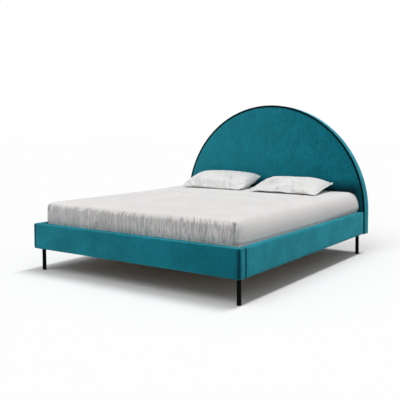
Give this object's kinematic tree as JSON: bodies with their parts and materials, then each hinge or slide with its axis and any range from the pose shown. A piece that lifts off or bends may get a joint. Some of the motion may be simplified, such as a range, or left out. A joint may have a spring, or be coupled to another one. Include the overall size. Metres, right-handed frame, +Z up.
{
  "type": "upholstered bed",
  "caption": "Upholstered velvet bed with a half-round piped headboard, low rails on round legs, a bentwood slat base, a mattress in a fitted sheet and pillows.",
  "frame": {"origin": "on the floor, at the middle of the footprint", "axes": "+Z up, +Y from the foot to the headboard, +X to the right of someone who looks from the foot"},
  "size_m": [1.9, 2.165, 1.3218],
  "materials": {
    "velvet": "teal velvet",
    "piping": "black satin piping cord",
    "dust_cover": "black spun dust cloth",
    "foam": "open-cell foam and wadding",
    "timber": "planed pine",
    "plywood": "sanded plywood",
    "birch": "lacquered bentwood birch",
    "black_steel": "black powder coat, satin",
    "zinc_steel": "zinc plated",
    "black_plastic": "moulded, matt",
    "ticking": "quilted knitted ticking",
    "sheet": "white cotton percale",
    "pillowcase": "white cotton percale"
  },
  "bodies": {
    "frame": {"headboard_back_panel": "plywood", "headboard_battens": "timber", "headboard_rim": "plywood", "headboard_front_panel": "plywood", "headboard_lower_board": "timber", "headboard_foam": "foam", "headboard_front_cover": "velvet", "headboard_border_cover": "velvet", "headboard_border_wadding": "foam", "headboard_piping": "piping", "headboard_back_cover": "dust_cover", "foot_rail_board": "timber", "foot_rail_foam": "foam", "foot_rail_cover": "velvet", "side_rail_left_board": "timber", "side_rail_left_foam": "foam", "side_rail_left_cover": "velvet", "side_rail_right_board": "timber", "side_rail_right_foam": "foam", "side_rail_right_cover": "velvet", "corner_bracket_left": "zinc_steel", "corner_bracket_right": "zinc_steel", "headboard_bracket_left": "zinc_steel", "headboard_bracket_right": "zinc_steel", "rail_bolts": "zinc_steel", "ledge_screws": "zinc_steel", "leg_screws": "zinc_steel", "pocket_screws": "zinc_steel", "centre_leg_screws": "zinc_steel", "centre_foot_locknuts": "zinc_steel", "slat_ledge_left": "black_steel", "slat_ledge_right": "black_steel", "leg_front_left": "black_steel", "leg_front_right": "black_steel", "leg_rear_left": "black_steel", "leg_rear_right": "black_steel", "leg_glides": "black_plastic", "centre_beam": "black_steel", "beam_pocket_foot": "black_steel", "beam_pocket_head": "black_steel", "centre_leg_front": "black_steel", "centre_leg_rear": "black_steel", "slats_left": "birch", "slats_right": "birch", "slat_caps_left": "black_plastic", "slat_caps_right": "black_plastic", "slat_caps_centre": "black_plastic"},
    "mattress": {"mattress_core": "foam", "mattress_ticking": "ticking", "fitted_sheet": "sheet"},
    "pillow_left": {"pillow_left": "pillowcase"},
    "pillow_right": {"pillow_right": "pillowcase"},
    "centre_foot_front": {"centre_foot_front": "black_plastic"},
    "centre_foot_rear": {"centre_foot_rear": "black_plastic"}
  },
  "joints": [
    {"name": "mattress_lift", "type": "slide", "parent": "frame", "child": "mattress", "axis": [0, 0, 1], "range_m": [0, 0.4]},
    {"name": "pillow_left_lift", "type": "slide", "parent": "mattress", "child": "pillow_left", "axis": [0, 0, 1], "range_m": [0, 0.4]},
    {"name": "pillow_right_lift", "type": "slide", "parent": "mattress", "child": "pillow_right", "axis": [0, 0, 1], "range_m": [0, 0.4]},
    {"name": "centre_foot_front_screw", "type": "slide", "parent": "frame", "child": "centre_foot_front", "axis": [0, 0, 1], "range_m": [-0.008, 0.012]},
    {"name": "centre_foot_rear_screw", "type": "slide", "parent": "frame", "child": "centre_foot_rear", "axis": [0, 0, 1], "range_m": [-0.008, 0.012]}
  ]
}
